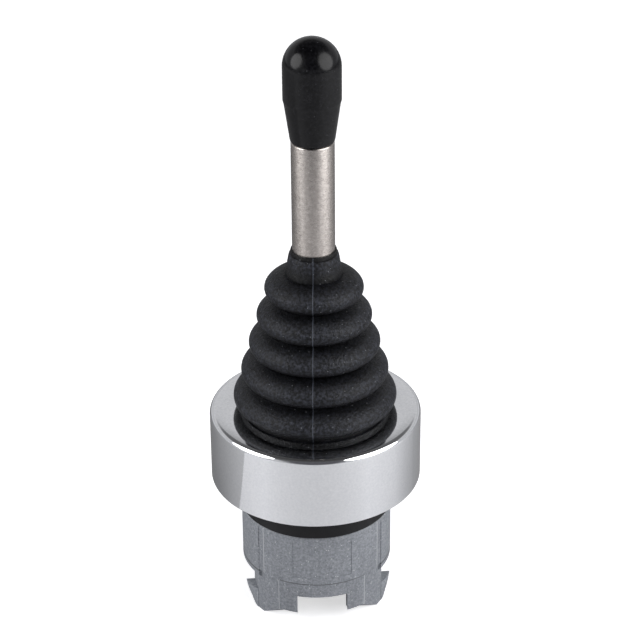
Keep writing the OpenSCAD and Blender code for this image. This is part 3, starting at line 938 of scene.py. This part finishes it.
knob_r = 4.0 * MM
knob_foot_r = 3.05 * MM
knob_taper_z = 77.5 * MM
ridge_r = knob_r - 0.14 * MM
ridge_z = knob_taper_z - 0.5 * MM
dome_z = knob_high.z - knob_r
bore_top_z = rod_high.z + 0.2 * MM
bm = bmesh.new()
last = trace(bm, [(spigot_r, bore_top_z), (spigot_r, knob_low.z), (knob_foot_r, knob_low.z)])
last = trace(bm, [(ridge_r, ridge_z), (knob_r, knob_taper_z)], last)
last = swing(bm, last, (0, dome_z), knob_r, 0, math.radians(88), 24)
trace(bm, [(0, knob_high.z)], last)
trace(bm, [(0, bore_top_z)], bm.verts[:][0])
bmesh.ops.spin(
    bm, geom=list(bm.verts) + list(bm.edges), cent=(0, 0, 0), axis=(0, 0, 1), angle=math.tau, steps=128,
    use_merge=True,
)
bmesh.ops.remove_doubles(bm, verts=bm.verts, dist=1e-3 * MM)
bmesh.ops.recalc_face_normals(bm, faces=bm.faces)
for radius, height, size in (
    (knob_foot_r, knob_low.z, 0.35 * MM), (knob_r, knob_taper_z, 0.12 * MM), (ridge_r, ridge_z, 0.15 * MM),
):
    round_over(bm, ring_at(bm, radius, height), size, 4)
finish(new_object("black_knob", bm), knob_plastic, "lever", "knob_plastic", "knob", sharp=40)

# The gimbal and the other plated parts
# Turned and punched steel with a thin bright zinc plate. The ring rocks in the body's cup and the
# disc rocks in the ring; washer and nut hold the disc on the rod, and the gate stops its tail.
plated_steel = surface("plated_steel", (0.62, 0.63, 0.64), 0.32, metallic=1.0)
between(plated_steel, grain(plated_steel, 1.2, 4), (0.5, 0.505, 0.52), (0.7, 0.705, 0.71), "Base Color")
between(plated_steel, grain(plated_steel, 2.5, 3), 0.24, 0.4, "Roughness")
relief(plated_steel, (grain(plated_steel, 4.0, 3), 0.003 * MM))


def dress(node, material):
    """Gives a CAD node its finish."""
    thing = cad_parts[node]
    thing.data.materials.clear()
    thing.data.materials.append(material)


for node in ("clamp_washer", "gimbal_ring", "trunnion_pins", "rocker_pins", "rocker_disc", "lever_washer"):
    dress(node, plated_steel)
nut = softened("lever_nut", "steel_nut", 0.12 * MM)
finish(nut, plated_steel, "lever", "bright_steel", "lever_nut")
gate = softened("gate_plate", "steel_gate", 0.06 * MM)
finish(gate, plated_steel, "housing", "bright_steel", "gate_plate")

# The knob's insert
# A turned brass thread insert with a coarse grip, hidden in the knob.
insert_brass = surface("insert_brass", (0.62, 0.44, 0.17), 0.3, metallic=1.0)
between(insert_brass, grain(insert_brass, 2.0, 3), 0.22, 0.42, "Roughness")
relief(insert_brass, (grain(insert_brass, 3.0, 2), 0.003 * MM))
dress("knob_insert", insert_brass)

# The plungers, their guide and its ring
# White acetal plungers in a black nylon guide, held in the skirt by a sprung steel ring.
acetal = surface("white_acetal", (0.74, 0.74, 0.70), 0.38)
between(acetal, grain(acetal, 0.8, 3), (0.70, 0.70, 0.655), (0.77, 0.77, 0.73), "Base Color")
relief(acetal, (grain(acetal, 3.0, 3), 0.003 * MM))
nylon = surface("black_nylon", (0.02, 0.02, 0.022), 0.5)
between(nylon, grain(nylon, 1.4, 4), 0.42, 0.62, "Roughness")
relief(nylon, (grain(nylon, 3.5, 3), 0.008 * MM))
spring_steel = surface("spring_steel", (0.42, 0.42, 0.43), 0.3, metallic=1.0)
between(spring_steel, grain(spring_steel, 3.0, 3), 0.22, 0.4, "Roughness")
relief(spring_steel, (grain(spring_steel, 6.0, 2), 0.002 * MM))

for side in ("right", "left", "front", "rear"):
    plunger = softened(f"plunger_{side}", f"acetal_plunger_{side}", 0.05 * MM)
    finish(plunger, acetal, f"{side}_plunger", "plunger_plastic", f"plunger_{side}")
guide = softened("plunger_guide", "nylon_guide", 0.12 * MM)
finish(guide, nylon, "housing", "guide_plastic", "plunger_guide")
circlip = softened("retaining_ring", "sprung_ring", 0.05 * MM)
finish(circlip, spring_steel, "housing", "spring_steel", "retaining_ring")

# The plunger springs
# Small compression springs of drawn steel wire with closed ends, each round its plunger's stem
# between the gate plate and the plunger's head.
wire_r = 0.2 * MM
spring_r = 1.4 * MM
open_turns = 5
closed_rise = 2 * wire_r
steps_a_turn = 20
for side, turn in (("right", 0), ("front", -90), ("left", 180), ("rear", 90)):
    low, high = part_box(f"spring_{side}")
    middle = (low + high) / 2
    bm = bmesh.new()
    ring = bmesh.ops.create_circle(bm, segments=8, radius=wire_r)["verts"]
    bmesh.ops.rotate(bm, verts=ring, cent=(0, 0, 0), matrix=Matrix.Rotation(math.pi / 2, 3, "X"))
    bmesh.ops.translate(bm, verts=ring, vec=(spring_r, 0, low.z + wire_r))
    wire = list(bm.verts) + list(bm.edges)
    open_rise = (high.z - low.z - 2 * wire_r - 2 * closed_rise) / open_turns
    for turns, rise in ((1, closed_rise), (open_turns, open_rise), (1, closed_rise)):
        wire = bmesh.ops.spin(
            bm, geom=wire, cent=(0, 0, 0), axis=(0, 0, 1), angle=math.tau * turns,
            steps=steps_a_turn * turns, dvec=(0, 0, rise / steps_a_turn),
        )["geom_last"]
    bmesh.ops.holes_fill(bm, edges=[e for e in bm.edges if e.is_boundary], sides=0)
    bmesh.ops.recalc_face_normals(bm, faces=bm.faces)
    bmesh.ops.rotate(bm, verts=bm.verts, cent=(0, 0, 0), matrix=Matrix.Rotation(math.radians(turn), 3, "Z"))
    bmesh.ops.translate(bm, verts=bm.verts, vec=(middle.x, middle.y, 0))
    coil = finish(new_object(f"coil_{side}", bm), spring_steel, "housing", "spring_steel", f"spring_{side}")
    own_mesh(coil)
